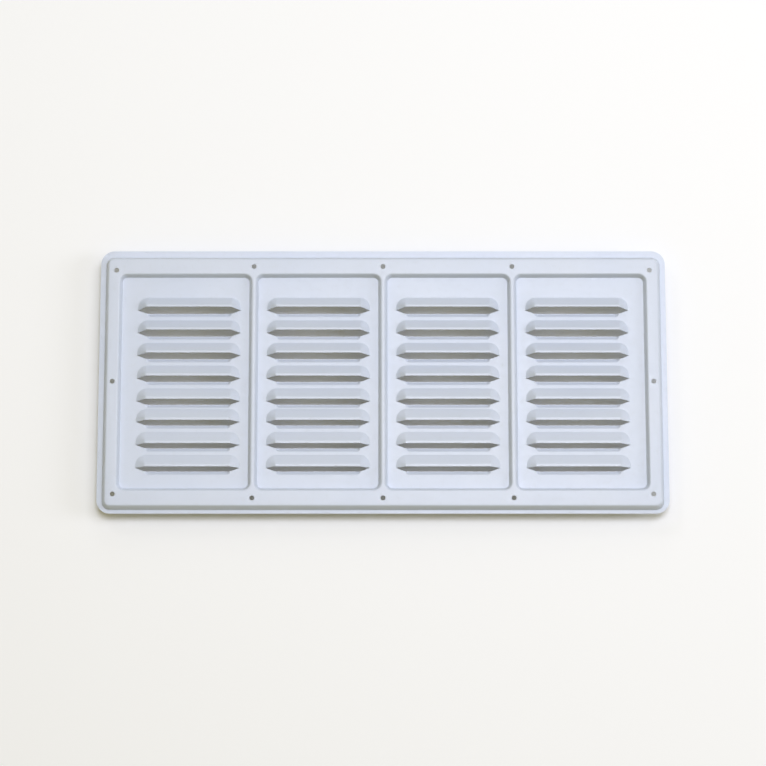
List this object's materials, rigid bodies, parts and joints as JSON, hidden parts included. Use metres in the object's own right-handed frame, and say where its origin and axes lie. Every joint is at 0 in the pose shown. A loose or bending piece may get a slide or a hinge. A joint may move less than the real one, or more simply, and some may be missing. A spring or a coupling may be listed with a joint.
{
  "type": "refrigerator vent grille",
  "caption": "Rectangular vent grille pressed from one painted sheet, with a raised screw frame, ribs and rows of downward louvres.",
  "frame": {"origin": "middle of the trimmed outline, on the plane of the flange's back face", "axes": "+Z out of the face, +Y to the upper edge as fitted, so the louvres open towards -Y, +X to the right seen from the front"},
  "size_m": [0.5, 0.235, 0.0104],
  "materials": {
    "painted_sheet": "satin off-white paint on pressed aluminium sheet"
  },
  "bodies": {
    "root": {"grille": "painted_sheet"}
  },
  "joints": []
}
